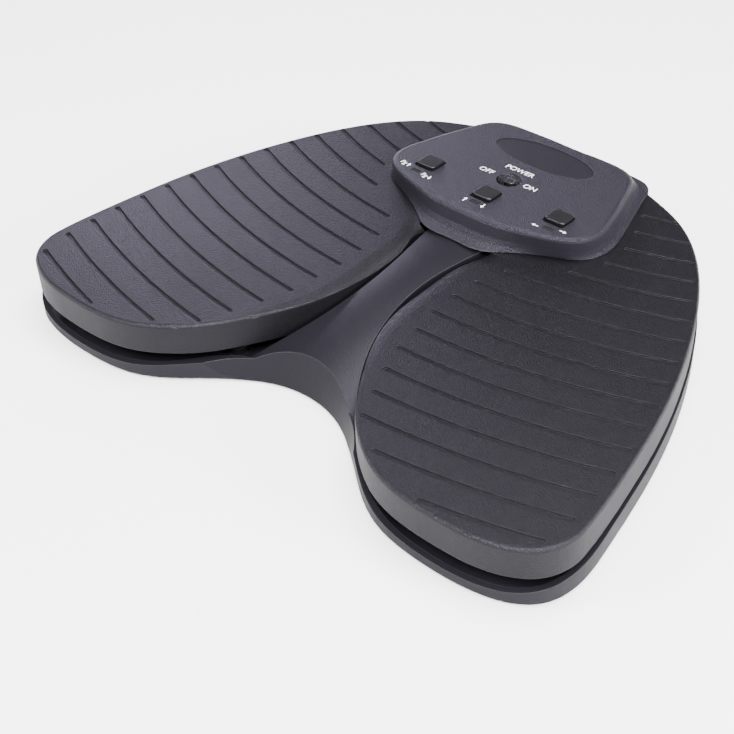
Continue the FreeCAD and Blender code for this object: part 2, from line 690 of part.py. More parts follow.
def wall_sketch(body, name, low, share, curves):
    # a plane between the level foot and the tilted top, a share of the way up
    lean = math.tan(math.radians(SLOPE)) * share
    edge = size("console_peak") - size("console_round") / math.cos(math.radians(SLOPE))
    sketch = new_sketch(body, name)
    middle = V(0, 0, low + (edge - low) * share)
    tilt = FreeCAD.Rotation(X_AXIS, -math.degrees(math.atan(lean)))
    sketch.AttachmentOffset = FreeCAD.Placement(middle, tilt)
    return add_all(sketch, curves)


def console_loft(body, name, distance, low, foot_share, sweep, rounds, kind):
    # from the foot up a hollow curve, then round the top edge, each ring a little further in
    foot = new_sketch(body, name + "_foot", V(0, 0, low))
    add_all(foot, console_ring(between(foot_share), distance))
    rings = []
    for number, (height, share) in enumerate(sweep):
        curves = console_ring(between(share), distance)
        rings.append(wall_sketch(body, "%s_wall_ring_%d" % (name, number), low, height, curves))
    for number, (w, share, shift) in enumerate(rounds):
        curves = console_ring(between(share), distance + shift)
        rings.append(tilted_sketch(body, "%s_ring_%d" % (name, number), w, curves))
    loft = body.newObject("PartDesign::" + kind, name)
    loft.Profile = foot
    loft.Sections = rings
    loft.Ruled = True
    doc.recompute()
    if not loft.isValid():
        raise ValueError("loft %s fails" % name)


def oval(x, y, long, wide):
    return Part.Ellipse(V(x, y, 0), long / 2.0, wide / 2.0)


def console_cover():
    body = new_body("console_cover")
    wall = size("console_wall")
    low = size("pedal_top") + size("console_gap")
    edge = size("console_round")

    # rear wall that drops to the tray, then the body above it
    rear = new_sketch(body, "rear_wall_outline", V(0, 0, REAR_LOW))
    add_all(rear, console_ring(CONSOLE_FOOT, 0.0))
    pad(body, rear, low - REAR_LOW + 0.6, "rear_block")
    front = new_sketch(body, "rear_wall_front", V(0, 0, REAR_LOW))
    add_all(front, closed_lines(REAR_INSIDE))
    pocket(body, front, low - REAR_LOW + 0.6, "rear_wall_front_cut", reverse=True)
    rounds = []
    for turn in (0, 30, 60, 90):
        drop = 1 - math.sin(math.radians(turn))
        rounds.append((-edge * drop, 1.0 - EDGE_SHARE * drop, edge * (1 - math.cos(math.radians(turn)))))
    console_loft(body, "console_outside", 0.0, low, 0.0, WALL_SWEEP, rounds, "AdditiveLoft")
    console_loft(body, "console_inside", wall, low - 0.01, INSIDE_SHARE, [], [(-wall, 0.9, 0.0)],
                 "SubtractiveLoft")

    # posts and the switch boss inside
    for number, (x, y) in enumerate(CONSOLE_POSTS):
        posts = new_sketch(body, "screw_post_circles_%d" % number, V(0, 0, POST_TOP + 0.1))
        ceiling = size("console_peak") - math.tan(math.radians(SLOPE)) * y - wall
        for side in SIDES:
            posts.addGeometry(circle(side * x, y, 3.5), False)
        pad(body, posts, ceiling - POST_TOP + 0.6, "screw_posts_%d" % number)
        holes = new_sketch(body, "screw_post_holes_%d" % number, V(0, 0, POST_TOP + 0.1))
        for side in SIDES:
            holes.addGeometry(circle(side * x, y, 1.55), False)
        pocket(body, holes, 8.0, "screw_holes_%d" % number, reverse=True)
    pegs = tilted_sketch(body, "board_post_circles", BOARD_TOP, [])
    for side in SIDES:
        for x, y in BOARD_POSTS:
            pegs.addGeometry(circle(side * x, y, 2.4), False)
    pad(body, pegs, size("board_drop") + 0.4, "board_posts")
    drill = tilted_sketch(body, "board_post_holes", BOARD_TOP, [])
    for side in SIDES:
        for x, y in BOARD_POSTS:
            drill.addGeometry(circle(side * x, y, 1.05), False)
    pocket(body, drill, 3.0, "board_screw_holes", reverse=True)
    boss = tilted_sketch(body, "switch_boss_circle", -wall - 1.8, [circle(*POWER_AT, 7.2)])
    pad(body, boss, 2.2, "switch_boss")

    # openings in the top
    for name, x, y in MODE_BUTTONS:
        hole = tilted_sketch(body, name + "_button_opening", 0, round_box(x, y - 0.45, 11.4, 11.7, 1.6))
        pocket(body, hole, wall + 0.8, name + "_button_hole")
    lamps = tilted_sketch(body, "lamp_openings", 0, [])
    for x, y in LAMPS:
        add_all(lamps, round_box(x, y, size("lamp_wide") + 0.2, size("lamp_long") + 0.2, 0.5))
    pocket(body, lamps, wall + 0.8, "lamp_holes")
    badge = tilted_sketch(body, "badge_oval", 0, [oval(*BADGE_AT, size("badge_long"), size("badge_wide"))])
    pocket(body, badge, "Sizes.badge_deep", "badge_recess")
    ball = body.newObject("PartDesign::SubtractiveSphere", "switch_dish")
    ball.Radius = DISH_BALL
    ball.AttachmentSupport = [(origin_plane(body, "XY_Plane"), "")]
    ball.MapMode = "FlatFace"
    rise = math.sqrt(DISH_BALL ** 2 - size("dish_radius") ** 2)
    place = tilted(rise)
    place.Base = place.Base + place.Rotation.multVec(V(POWER_AT[0], POWER_AT[1], 0))
    ball.AttachmentOffset = place
    doc.recompute()
    slot = tilted_sketch(body, "knob_slot", 0, round_box(POWER_AT[0], POWER_AT[1], 5.4, 2.6, 1.2))
    pocket(body, slot, wall + 2.2, "knob_slot_hole")
    inlet = new_sketch(body, "inlet_opening", V(0, 0, -118), role="XZ_Plane")
    middle = INLET_LOW + INLET_HIGH / 2
    add_all(inlet, round_box(0, middle, INLET_WIDE + 0.9, INLET_HIGH + 0.9, 1.2))
    pocket(body, inlet, 8.0, "inlet_hole", reverse=True)
    return body


# Small pieces in and under the console
SPRING_LOW = 4.4
SPRING_HIGH = 26.6
SPRING_TURNS = 6
STOP_HIGH = 4.7
KNOB_REST = 1.2
KNOB_LOW = -1.7
KNOB_HIGH = 0.1
CELL_ROWS = (55.1, 70.9)
CELL_Z = 11.0
DOOR_LOW = 1.25
DOOR_THICK = 1.5
INLET_FRONT = 114.2
LEAD = [(78.5, -89.35, 10.2), (78.0, -86, 10.1), (75.5, -79, 7.6), (70, -70, 5.4), (64, -59, 5.7),
        (58, -47, 7.3), (51, -33, 5.6), (40, -8, 5.2), (30, 20, 5.4), (22.5, 33, 6.0),
        (18.2, 38.6, 9.5), (17.6, 40.6, 18), (17.6, 41.6, 26), (17.6, 42.6, 32.9)]


def plain_body(name, sketch_name, shift, curves, length, role="XY_Plane"):
    body = new_body(name)
    sketch = add_all(new_sketch(body, sketch_name, shift, role=role), curves)
    pad(body, sketch, length, name + "_pad")
    return body


def mode_button(name, x, y):
    body = new_body("mode_button_" + name)
    wall = size("console_wall")
    flange_edge = round_box(x, y + 0.4, 13.4, 12.0, 1.5)
    flange = tilted_sketch(body, name + "_flange_outline", -wall - 1.1, flange_edge)
    pad(body, flange, 0.7, name + "_flange")
    cap = tilted_sketch(body, name + "_cap_outline", -wall - 0.6,
                        round_box(x, y, size("cap_wide"), size("cap_long"), 1.8))
    pad(body, cap, wall + 0.6 + size("cap_proud"), name + "_cap")
    last = body.Tip
    top = []
    for number, edge in enumerate(body.Shape.Edges, start=1):
        middle = tilted(0).inverse().multVec(edge.BoundBox.Center)
        if middle.z > size("cap_proud") - 0.05:
            top.append("Edge%d" % number)
    soft = body.newObject("PartDesign::Fillet", name + "_cap_round")
    soft.Base = (last, top)
    soft.Radius = 0.6
    doc.recompute()
    stem = tilted_sketch(body, name + "_stem_circle", BOARD_TOP + 1.8, [circle(x, y, 1.5)])
    pad(body, stem, -wall - 1.0 - (BOARD_TOP + 1.8), name + "_stem")
    return body


def tact_switches():
    bodies = []
    for name, x, y in MODE_BUTTONS:
        body = new_body("switch_" + name)
        case = tilted_sketch(body, name + "_switch_outline", BOARD_TOP, round_box(x, y, 6.2, 6.2, 0.5))
        pad(body, case, 2.2, name + "_switch_case")
        well = tilted_sketch(body, name + "_switch_well", BOARD_TOP + 2.2, [circle(x, y, 1.9)])
        pocket(body, well, 1.4, name + "_switch_bore")
        bodies.append(body)
    return group("tact_switches", bodies)


def group(name, bodies):
    # repeats that share one node, kept as separate solids
    whole = doc.addObject("Part::Compound", name)
    whole.Links = bodies
    doc.recompute()
    return whole


def lamps():
    lights = []
    windows = []
    wall = size("console_wall")
    for number, (x, y) in enumerate(LAMPS):
        light = new_body("lamp_%d" % number)
        chip = tilted_sketch(light, "lamp_chip_%d" % number, BOARD_TOP, round_box(x, y, 3.2, 1.6, 0.3))
        pad(light, chip, 1.2, "lamp_chip_pad_%d" % number)
        lights.append(light)
        window = new_body("lamp_window_%d" % number)
        flange = tilted_sketch(window, "window_flange_%d" % number, -wall - 0.8,
                               round_box(x, y - 0.4, size("lamp_wide") + 1.4, size("lamp_long") + 0.8, 0.6))
        pad(window, flange, 0.7, "window_flange_pad_%d" % number)
        pane = tilted_sketch(window, "window_pane_%d" % number, -wall - 0.2,
                             round_box(x, y, size("lamp_wide"), size("lamp_long"), 0.4))
        pad(window, pane, wall + 0.2 - 0.35, "window_pane_pad_%d" % number)
        windows.append(window)
    group("lamps", lights)
    group("lamp_windows", windows)


def power_slide():
    x, y = POWER_AT
    case = new_body("power_switch")
    outline = tilted_sketch(case, "power_case_outline", BOARD_TOP, round_box(x, y, 8.8, 4.6, 0.4))
    pad(case, outline, 2.0, "power_case")
    track = tilted_sketch(case, "power_track_outline", BOARD_TOP + 2.0, round_box(x, y, 5.2, 2.4, 0.3))
    pocket(case, track, 1.4, "power_track")
    knob = new_body("power_knob")
    at = x + KNOB_REST
    button = tilted_sketch(knob, "knob_circle", KNOB_LOW, [circle(at, y, 2.5)])
    pad(knob, button, KNOB_HIGH - KNOB_LOW, "knob_disc")
    grip = tilted_sketch(knob, "knob_grip", KNOB_HIGH, [])
    for shift in (-1.35, -0.35, 0.65):
        add_all(grip, box_lines(at + shift, y - 1.5, at + shift + 0.7, y + 1.5))
    pocket(knob, grip, 0.5, "knob_grip_slots")
    stem = tilted_sketch(knob, "knob_stem_outline", BOARD_TOP + 1.0, round_box(at, y, 1.7, 1.7, 0.2))
    pad(knob, stem, KNOB_LOW + 0.1 - (BOARD_TOP + 1.0), "knob_stem")


def main_board():
    body = new_body("main_board")
    edge = [(-43, 72), (-43, 42.8), (-21, 42.8), (-21, 37.4), (21, 37.4), (21, 42.8), (43, 42.8), (43, 72)]
    outline = tilted_sketch(body, "main_board_outline", BOARD_LOW, closed_lines(edge))
    pad(body, outline, "Sizes.board_thick", "main_board_sheet")
    holes = tilted_sketch(body, "main_board_holes", BOARD_TOP, [])
    for side in SIDES:
        x, y = CONSOLE_POSTS[0]
        holes.addGeometry(circle(side * x, y + 0.2, 4.1), False)
        for x, y in BOARD_POSTS:
            holes.addGeometry(circle(side * x, y, 1.1), False)
    pocket(body, holes, size("board_thick"), "main_board_bores")


def board_screws():
    screws = []
    for number, (x, y) in enumerate(BOARD_POSTS * 2):
        at = x if number < len(BOARD_POSTS) else -x
        screw = new_body("board_screw_%d" % number)
        head = tilted_sketch(screw, "board_screw_head_%d" % number, BOARD_LOW - 1.3, [circle(at, y, 1.8)])
        pad(screw, head, 1.3, "board_screw_head_pad_%d" % number)
        shank = tilted_sketch(screw, "board_screw_shank_%d" % number, BOARD_LOW - 0.1, [circle(at, y, 1.0)])
        pad(screw, shank, size("board_thick") + 2.6, "board_screw_shank_pad_%d" % number)
        slots = cross(at, y, 0.9, 0.25)
        drive = tilted_sketch(screw, "board_screw_cross_%d" % number, BOARD_LOW - 1.3, slots)
        pocket(screw, drive, 0.7, "board_screw_drive_%d" % number, reverse=True)
        screws.append(screw)
    group("board_screws", screws)


def cross(x, y, reach, half):
    # outline of a crossed driver slot
    points = [(reach, -half), (reach, half), (half, half), (half, reach), (-half, reach), (-half, half),
              (-reach, half), (-reach, -half), (-half, -half), (-half, -reach), (half, -reach), (half, -half)]
    return closed_lines([(x + a, y + b) for a, b in points])


def case_screws():
    screws = []
    for side in SIDES:
        for number, (x, y) in enumerate(CONSOLE_POSTS):
            name = "case_screw_%d_%s" % (number, "right" if side > 0 else "left")
            screw = new_body(name)
            head = new_sketch(screw, name + "_head", V(0, 0, SCREW_HEAD_TOP - 2.0))
            head.addGeometry(circle(side * x, y, 2.7), False)
            pad(screw, head, 2.0, name + "_head_pad")
            shank = new_sketch(screw, name + "_shank", V(0, 0, SCREW_HEAD_TOP - 0.1))
            shank.addGeometry(circle(side * x, y, 1.5), False)
            pad(screw, shank, POST_TOP + 6.0 - SCREW_HEAD_TOP, name + "_shank_pad")
            drive = add_all(new_sketch(screw, name + "_cross", V(0, 0, SCREW_HEAD_TOP - 2.0)),
                            cross(side * x, y, 1.5, 0.4))
            pocket(screw, drive, 1.1, name + "_drive", reverse=True)
            screws.append(screw)
    group("case_screws", screws)


def badge_plate():
    body = new_body("badge_plate")
    deep = size("badge_deep")
    face = tilted_sketch(body, "badge_face", -deep,
                         [oval(*BADGE_AT, size("badge_long") - 0.7, size("badge_wide") - 0.7)])
    pad(body, face, 0.5, "badge_pad")


def hinge_rod():
    body = new_body("hinge_rod")
    reach = BRACKETS[1] + BRACKET_WIDE + 0.4
    end = new_sketch(body, "rod_circle", V(0, 0, -reach), role="YZ_Plane")
    end.addGeometry(circle(HINGE_Y, HINGE_Z, size("rod_radius")), False)
    pad(body, end, 2 * reach, "rod")


def return_spring(name, side):
    body = new_body(name)
    x, y = side * SPRING_AT[0], SPRING_AT[1]
    wire = new_sketch(body, name + "_wire", V(x, 0, -y), role="XZ_Plane")
    wire.addGeometry(circle(size("spring_radius"), SPRING_LOW, size("spring_wire")), False)
    coil = body.newObject("PartDesign::AdditiveHelix", name + "_coil")
    coil.Profile = wire
    coil.ReferenceAxis = (wire, ["V_Axis"])
    coil.Mode = "height-turns-angle"
    coil.Height = SPRING_HIGH - SPRING_LOW
    coil.Turns = SPRING_TURNS
    doc.recompute()


def stop(side, number, x, y):
    name = "stop_%d_%s" % (number, "right" if side > 0 else "left")
    shift = V(0, 0, STOP_SEAT_TOP)
    return plain_body(name, name + "_circle", shift, [circle(side * x, y, size("stop_radius"))], STOP_HIGH)


def sensors(word, side):
    x, y = side * MAGNET_AT[0], MAGNET_AT[1]
    seat = V(0, 0, STOP_BOSS_LOW + 0.1)
    plain_body(word + "_magnet", word + "_magnet_circle", seat, [circle(x, y, 3.0)], 3.0)
    board = plain_body(word + "_sensor_board", word + "_sensor_outline", V(0, 0, SENSOR_BOARD_LOW),
                       round_box(x, y, 24.0, 14.0, 1.0), "Sizes.board_thick")
    top = SENSOR_BOARD_LOW + size("board_thick")
    chip = new_sketch(board, word + "_sensor_chip_outline", V(0, 0, top))
    add_all(chip, box_lines(x - 2.0, y - 1.5, x + 2.0, y + 1.5))
    pad(board, chip, 1.1, word + "_sensor_chip")
    socket = new_sketch(board, word + "_lead_socket_outline", V(0, 0, top))
    add_all(socket, box_lines(x - side * 9.5 - 1.5, y + 1.5, x - side * 9.5 + 1.5, y + 5.5))
    pad(board, socket, 2.0, word + "_lead_socket")


def sensor_lead(word, side):
    # the lead runs over the tray floor, round the cell bay and up to the main board
    points = [V(side * x, y, z) for x, y, z in LEAD]
    path = doc.addObject("Part::Feature", word + "_lead_path")
    run = Part.BSplineCurve()
    run.interpolate(points)
    path.Shape = run.toShape()
    start = run.tangent(run.FirstParameter)[0]
    ring = doc.addObject("Part::Circle", word + "_lead_ring")
    ring.Radius = 0.7
    ring.Placement = FreeCAD.Placement(points[0], FreeCAD.Rotation(Z_AXIS, start))
    sweep = doc.addObject("Part::Sweep", word + "_sensor_lead")
    sweep.Sections = [ring]
    sweep.Spine = (path, ["Edge1"])
    sweep.Solid = True
    sweep.Frenet = False
    doc.recompute()


def battery_cells():
    cells = []
    for number, y in enumerate(CELL_ROWS):
        sign = 1 if number else -1
        cell = new_body("cell_%d" % number)
        half = size("cell_length") / 2
        profile = new_sketch(cell, "cell_profile_%d" % number, V(0, CELL_Z, -y), role="XZ_Plane")
        radius = size("cell_radius")
        points = [(-sign * half, 0), (-sign * half, radius - 1.6), (-sign * (half - 0.3), radius - 0.4),
                  (-sign * (half - 0.8), radius), (sign * (half - 1.6), radius),
                  (sign * (half - 1.1), radius - 0.6),
                  (sign * (half - 1.1), 2.8), (sign * half, 2.6), (sign * half, 0)]
        add_all(profile, closed_lines(points))
        spin = cell.newObject("PartDesign::Revolution", "cell_spin_%d" % number)
        spin.Profile = profile
        spin.ReferenceAxis = (profile, ["H_Axis"])
        spin.Angle = 360
        doc.recompute()
        cells.append(cell)
    group("battery_cells", cells)


def cell_contacts():
    contacts = []
    for number, y in enumerate(CELL_ROWS):
        for end in SIDES:
            name = "contact_%d_%s" % (number, "right" if end > 0 else "left")
            plate = new_body(name)
            start = end * 27.6 - (0.4 if end < 0 else 0.0)
            face = new_sketch(plate, name + "_face", V(0, 0, start), role="YZ_Plane")
            add_all(face, round_box(y, CELL_Z, 10.0, 10.0, 1.0))
            pad(plate, face, 0.4, name + "_plate")
            sprung = (end > 0) == (number == 0)
            tip = new_sketch(plate, name + "_tip_circle", V(0, 0, end * 27.7), role="YZ_Plane")
            tip.addGeometry(circle(y, CELL_Z, 4.2 if sprung else 2.2), False)
            if sprung:
                tip.addGeometry(circle(y, CELL_Z, 3.4), False)
            pad(plate, tip, 2.3, name + "_tip", reverse=end > 0)
            contacts.append(plate)
    group("cell_contacts", contacts)


def battery_door():
    x0, y0, x1, y1 = DOOR
    body = plain_body("battery_door", "door_outline", V(0, 0, DOOR_LOW),
                      round_box((x0 + x1) / 2, (y0 + y1) / 2, x1 - x0, y1 - y0, 0.8), DOOR_THICK)
    tabs = new_sketch(body, "door_tab_outlines", V(0, 0, DOOR_LOW + DOOR_THICK - 0.65))
    for x in DOOR_TABS:
        add_all(tabs, box_lines(x, y0 - 1.6, x + 5.0 - 0.4, y0 + 1.0))
        add_all(tabs, box_lines(x, y1 - 1.0, x + 5.0 - 0.4, y1 + 1.6))
    pad(body, tabs, 0.65, "door_tabs")
    grips = new_sketch(body, "door_grip_lines", V(0, 0, DOOR_LOW))
    for number in range(6):
        x = -24.0 + number * 2.4
        add_all(grips, box_lines(x, 56.0, x + 1.1, 70.0))
    pocket(body, grips, 0.5, "door_grips", reverse=True)


def rubber_feet():
    feet = []
    for number, (x, y) in enumerate(FEET_AT):
        shape = [circle(x, y, size("foot_radius"))]
        foot = plain_body("foot_%d" % number, "foot_%d_circle" % number, V(0, 0, 0), shape, TRAY_LOW + 1.0)
        feet.append(foot)
    group("rubber_feet", feet)


def inlet():
    plain_body("inlet_board", "inlet_board_outline", V(0, 0, INLET_BOARD_LOW),
               box_lines(-11.0, 93.6, 11.0, 111.6), "Sizes.board_thick")
    shell = new_body("usb_inlet")
    middle = INLET_LOW + INLET_HIGH / 2
    mouth = new_sketch(shell, "inlet_outline", V(0, 0, -INLET_FRONT), role="XZ_Plane")
    add_all(mouth, round_box(0, middle, INLET_WIDE, INLET_HIGH, 0.8))
    pad(shell, mouth, 9.2, "inlet_block")
    hollow = new_sketch(shell, "inlet_hollow", V(0, 0, -INLET_FRONT), role="XZ_Plane")
    add_all(hollow, round_box(0, middle, INLET_WIDE - 0.8, INLET_HIGH - 0.8, 0.5))
    pocket(shell, hollow, 7.0, "inlet_mouth", reverse=True)
    tongue = new_sketch(shell, "inlet_tongue_outline", V(0, 0, -(INLET_FRONT - 8.0)), role="XZ_Plane")
    add_all(tongue, box_lines(-2.6, middle + 0.1, 2.6, middle + 0.8))
    pad(shell, tongue, 6.8, "inlet_tongue", reverse=True)


# Every piece in turn
pedal("right_pedal", 1)
pedal("left_pedal", -1)
base_tray()
console_cover()
for word, x, y in MODE_BUTTONS:
    mode_button(word, x, y)
tact_switches()
lamps()
power_slide()
main_board()
board_screws()
case_screws()
badge_plate()
hinge_rod()
return_spring("right_spring", 1)
return_spring("left_spring", -1)
group("pedal_stops", [stop(side, number, x, y) for side in SIDES for number, (x, y) in enumerate(STOPS)])
for word, side in (("right", 1), ("left", -1)):
    sensors(word, side)
    sensor_lead(word, side)
battery_cells()
cell_contacts()
battery_door()
rubber_feet()
inlet()

NODES = ["base_tray", "left_pedal", "right_pedal", "console_cover", "mode_button_left",
         "mode_button_centre", "mode_button_right", "tact_switches", "lamps", "lamp_windows",
         "power_switch", "power_knob", "main_board", "board_screws", "case_screws", "badge_plate",
         "hinge_rod", "left_spring", "right_spring", "pedal_stops", "left_magnet", "right_magnet",
         "left_sensor_board", "right_sensor_board", "left_sensor_lead", "right_sensor_lead",
         "battery_cells", "cell_contacts", "battery_door", "rubber_feet", "inlet_board", "usb_inlet"]

doc.recompute()
for thing in doc.Objects:
    if "Invalid" in thing.State or "Error" in thing.State:
        raise ValueError("%s is not sound" % thing.Name)
os.makedirs("parts", exist_ok=True)
for name in NODES:
    node = doc.getObject(name)
    node.Label = name
    if node.Shape.isNull() or not node.Shape.isValid():
        raise ValueError("%s has no valid shape" % name)
    node.Shape.exportStep("parts/%s.step" % name)
    print(name, len(node.Shape.Solids), round(node.Shape.Volume, 1))
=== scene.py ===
# %% [markdown]
# # A page turner pedal, dressed for its portrait
# This foot switch has two wing-shaped pedals beside a narrow bridge, and a small console that
# covers their hinges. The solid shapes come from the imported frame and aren't modelled again. This
# lesson gives each piece its surface, adds the printed signs that are too thin for the solids, and
# lights the whole as a studio would. Lengths are metres, as in the frame.

# %% Load the frame
import math

import bmesh
import bpy
from mathutils import Matrix, Quaternion, Vector


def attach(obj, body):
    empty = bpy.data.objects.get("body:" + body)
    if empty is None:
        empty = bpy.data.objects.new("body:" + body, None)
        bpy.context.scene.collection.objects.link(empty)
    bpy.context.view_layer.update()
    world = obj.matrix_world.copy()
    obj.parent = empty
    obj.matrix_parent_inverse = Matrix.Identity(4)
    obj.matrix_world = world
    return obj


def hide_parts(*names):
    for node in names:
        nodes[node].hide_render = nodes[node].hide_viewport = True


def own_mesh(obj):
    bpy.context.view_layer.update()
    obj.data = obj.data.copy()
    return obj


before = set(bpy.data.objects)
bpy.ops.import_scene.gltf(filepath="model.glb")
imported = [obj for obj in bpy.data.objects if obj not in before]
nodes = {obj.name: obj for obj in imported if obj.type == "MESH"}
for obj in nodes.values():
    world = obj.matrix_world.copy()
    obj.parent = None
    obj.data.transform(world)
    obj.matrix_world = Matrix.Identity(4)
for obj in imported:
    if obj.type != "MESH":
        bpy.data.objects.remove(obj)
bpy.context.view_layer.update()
MM = 0.001

# %% [markdown]
# ## Helpers for nodes
# A material is a graph of nodes, which could be drawn by hand in the shader editor. Here a few
# helpers add and join the nodes, so that each finish reads as a short recipe.

# %% Helpers for nodes
def add(tree, kind, **settings):
    node = tree.nodes.new(kind)
    for name, value in settings.items():
        setattr(node, name, value)
    return node


def spread(tree, source, low, high, out_low, out_high):
    # maps a value from one range to another, held at both ends
    node = add(tree, "ShaderNodeMapRange", clamp=True)
    node.inputs["From Min"].default_value = low
    node.inputs["From Max"].default_value = high
    node.inputs["To Min"].default_value = out_low
    node.inputs["To Max"].default_value = out_high
    tree.links.new(source, node.inputs["Value"])
    return node.outputs["Result"]


def combine(tree, operation, first, second):
    node = add(tree, "ShaderNodeMath", operation=operation)
    tree.links.new(first, node.inputs[0])
    tree.links.new(second, node.inputs[1])
    return node.outputs[0]


print("helpers: add, spread, combine")

# %% [markdown]
# ## Shared effects
# Three effects are on several materials: the pebble of a moulded surface, the slow change of gloss
# that handling leaves, and the line along an edge, partly wear and partly a painted highlight. Each
# could be repeated in every material.
# As node groups with named sockets they are built once, and each material sets its own values.

# %% Helpers for node groups
def new_group(name, inputs, outputs):
    group = bpy.data.node_groups.new(name, "ShaderNodeTree")
    for socket, kind, value in inputs:
        made = group.interface.new_socket(socket, in_out="INPUT", socket_type=kind)
        if value is not None:
            made.default_value = value
    for socket, kind in outputs:
        group.interface.new_socket(socket, in_out="OUTPUT", socket_type=kind)
    return group, group.nodes.new("NodeGroupInput"), group.nodes.new("NodeGroupOutput")


def use_group(tree, group, **values):
    node = add(tree, "ShaderNodeGroup", node_tree=group)
    for name, value in values.items():
        node.inputs[name].default_value = value
    return node


print("helpers: new_group, use_group")

# %% [markdown]
# ## Moulded grain
# The housings come out of a mould with an etched skin, which leaves fine rounded pits. A picture
# of grain would stretch over the curved faces. Rounded cells mixed with noise, both measured in the
# object's own space, keep one size on every face.

# %% Moulded grain
GRAIN_HEIGHT = 0.2 * MM
CELL_SOFTNESS = 0.6
DUST_DETAIL = 3.0
DUST_FINER = 1.7


def make_grain():
    group, start, end = new_group(
        "moulded grain",
        [("Size", "NodeSocketFloat", 900.0), ("Depth", "NodeSocketFloat", 0.4),
         ("Fine", "NodeSocketFloat", 0.35), ("Normal", "NodeSocketVector", None)],
        [("Normal", "NodeSocketVector"), ("Pits", "NodeSocketFloat")])
    place = add(group, "ShaderNodeTexCoord")
    cells = add(group, "ShaderNodeTexVoronoi", feature="SMOOTH_F1")
    cells.inputs["Smoothness"].default_value = CELL_SOFTNESS
    dust = add(group, "ShaderNodeTexNoise")
    dust.inputs["Detail"].default_value = DUST_DETAIL
    group.links.new(place.outputs["Object"], cells.inputs["Vector"])
    group.links.new(place.outputs["Object"], dust.inputs["Vector"])
    group.links.new(start.outputs["Size"], cells.inputs["Scale"])
    finer = add(group, "ShaderNodeMath", operation="MULTIPLY")
    finer.inputs[1].default_value = DUST_FINER
    group.links.new(start.outputs["Size"], finer.inputs[0])
    group.links.new(finer.outputs[0], dust.inputs["Scale"])
    mixed = add(group, "ShaderNodeMix", data_type="FLOAT")
    group.links.new(start.outputs["Fine"], mixed.inputs["Factor"])
    group.links.new(cells.outputs["Distance"], mixed.inputs["A"])
    group.links.new(dust.outputs["Fac"], mixed.inputs["B"])
    bump = add(group, "ShaderNodeBump")
    bump.inputs["Distance"].default_value = GRAIN_HEIGHT
    group.links.new(start.outputs["Depth"], bump.inputs["Strength"])
    group.links.new(start.outputs["Normal"], bump.inputs["Normal"])
    group.links.new(mixed.outputs["Result"], bump.inputs["Height"])
    group.links.new(bump.outputs["Normal"], end.inputs["Normal"])
    group.links.new(mixed.outputs["Result"], end.inputs["Pits"])
    return group


grain = make_grain()
print("group:", grain.name)

# %% [markdown]
# ## Handling marks
# Shoes and fingers leave a surface glossier in some places than in others. One roughness for the
# whole piece would look new and flat. A slow noise that moves between two roughness values is the
# least that shows it, and the two values say how much.

# %% Handling marks
SMUDGE_SIZE = 22.0
SMUDGE_DETAIL = 5.0
SMUDGE_SOFTNESS = 0.6


def make_handling():
    group, start, end = new_group(
        "handling", [("Low", "NodeSocketFloat", 0.4), ("High", "NodeSocketFloat", 0.6)],
        [("Roughness", "NodeSocketFloat")])
    place = add(group, "ShaderNodeTexCoord")
    slow = add(group, "ShaderNodeTexNoise")
    slow.inputs["Scale"].default_value = SMUDGE_SIZE
    slow.inputs["Detail"].default_value = SMUDGE_DETAIL
    slow.inputs["Roughness"].default_value = SMUDGE_SOFTNESS
    group.links.new(place.outputs["Object"], slow.inputs["Vector"])
    even = spread(group, slow.outputs["Fac"], 0.3, 0.7, 0.0, 1.0)
    mixed = add(group, "ShaderNodeMix", data_type="FLOAT")
    group.links.new(even, mixed.inputs["Factor"])
    group.links.new(start.outputs["Low"], mixed.inputs["A"])
    group.links.new(start.outputs["High"], mixed.inputs["B"])
    group.links.new(mixed.outputs["Result"], end.inputs["Roughness"])
    return group


handling = make_handling()
print("group:", handling.name)

# %% [markdown]
# ## Edges: wear and painted highlight
# The sharp edges of a moulding rub lighter and catch the light. The lighter colour this mask gives
# them is partly wear and partly a painted highlight. They could be bevelled in the mesh, but the
# solids' meshes stay as they are. A Bevel node softens the normal alone, and where it differs from
# the face's own normal there is an edge.

# %% Edges: wear and painted highlight
EDGE_WIDTH = 0.5 * MM
BEVEL_SAMPLES = 6
EDGE_BEGINS = 0.999
EDGE_FULL = 0.86


def make_edges():
    group, start, end = new_group(
        "edge wear and highlight", [("Width", "NodeSocketFloat", EDGE_WIDTH)],
        [("Edge", "NodeSocketFloat"), ("Normal", "NodeSocketVector")])
    soft = add(group, "ShaderNodeBevel", samples=BEVEL_SAMPLES)
    group.links.new(start.outputs["Width"], soft.inputs["Radius"])
    face = add(group, "ShaderNodeNewGeometry")
    same = add(group, "ShaderNodeVectorMath", operation="DOT_PRODUCT")
    group.links.new(soft.outputs["Normal"], same.inputs[0])
    group.links.new(face.outputs["Normal"], same.inputs[1])
    edge = spread(group, same.outputs["Value"], EDGE_BEGINS, EDGE_FULL, 0.0, 1.0)
    group.links.new(edge, end.inputs["Edge"])
    group.links.new(soft.outputs["Normal"], end.inputs["Normal"])
    return group


edges = make_edges()
print("group:", edges.name)

# %% [markdown]
# ## Which way a face looks
# The rolled edges of the pedals sparkle more than their tops, and the upright walls are duller.
# The faces could be picked one by one. Their normals already tell them apart, so two masks come
# from the normal's height.

# %% Masks from the normal
def face_height(tree):
    # 1 on a face that looks up, 0 on one that stands upright
    face = add(tree, "ShaderNodeNewGeometry")
    parts = add(tree, "ShaderNodeSeparateXYZ")
    tree.links.new(face.outputs["Normal"], parts.inputs["Vector"])
    return parts.outputs["Z"]


def leaning(tree, height):
    # 1 on a face that leans, such as a rolled edge, and 0 on a level or an upright one
    not_level = spread(tree, height, 0.90, 0.97, 1.0, 0.0)
    not_upright = spread(tree, height, 0.3, 0.45, 0.0, 1.0)
    return combine(tree, "MULTIPLY", not_level, not_upright)


print("masks: face_height, leaning")
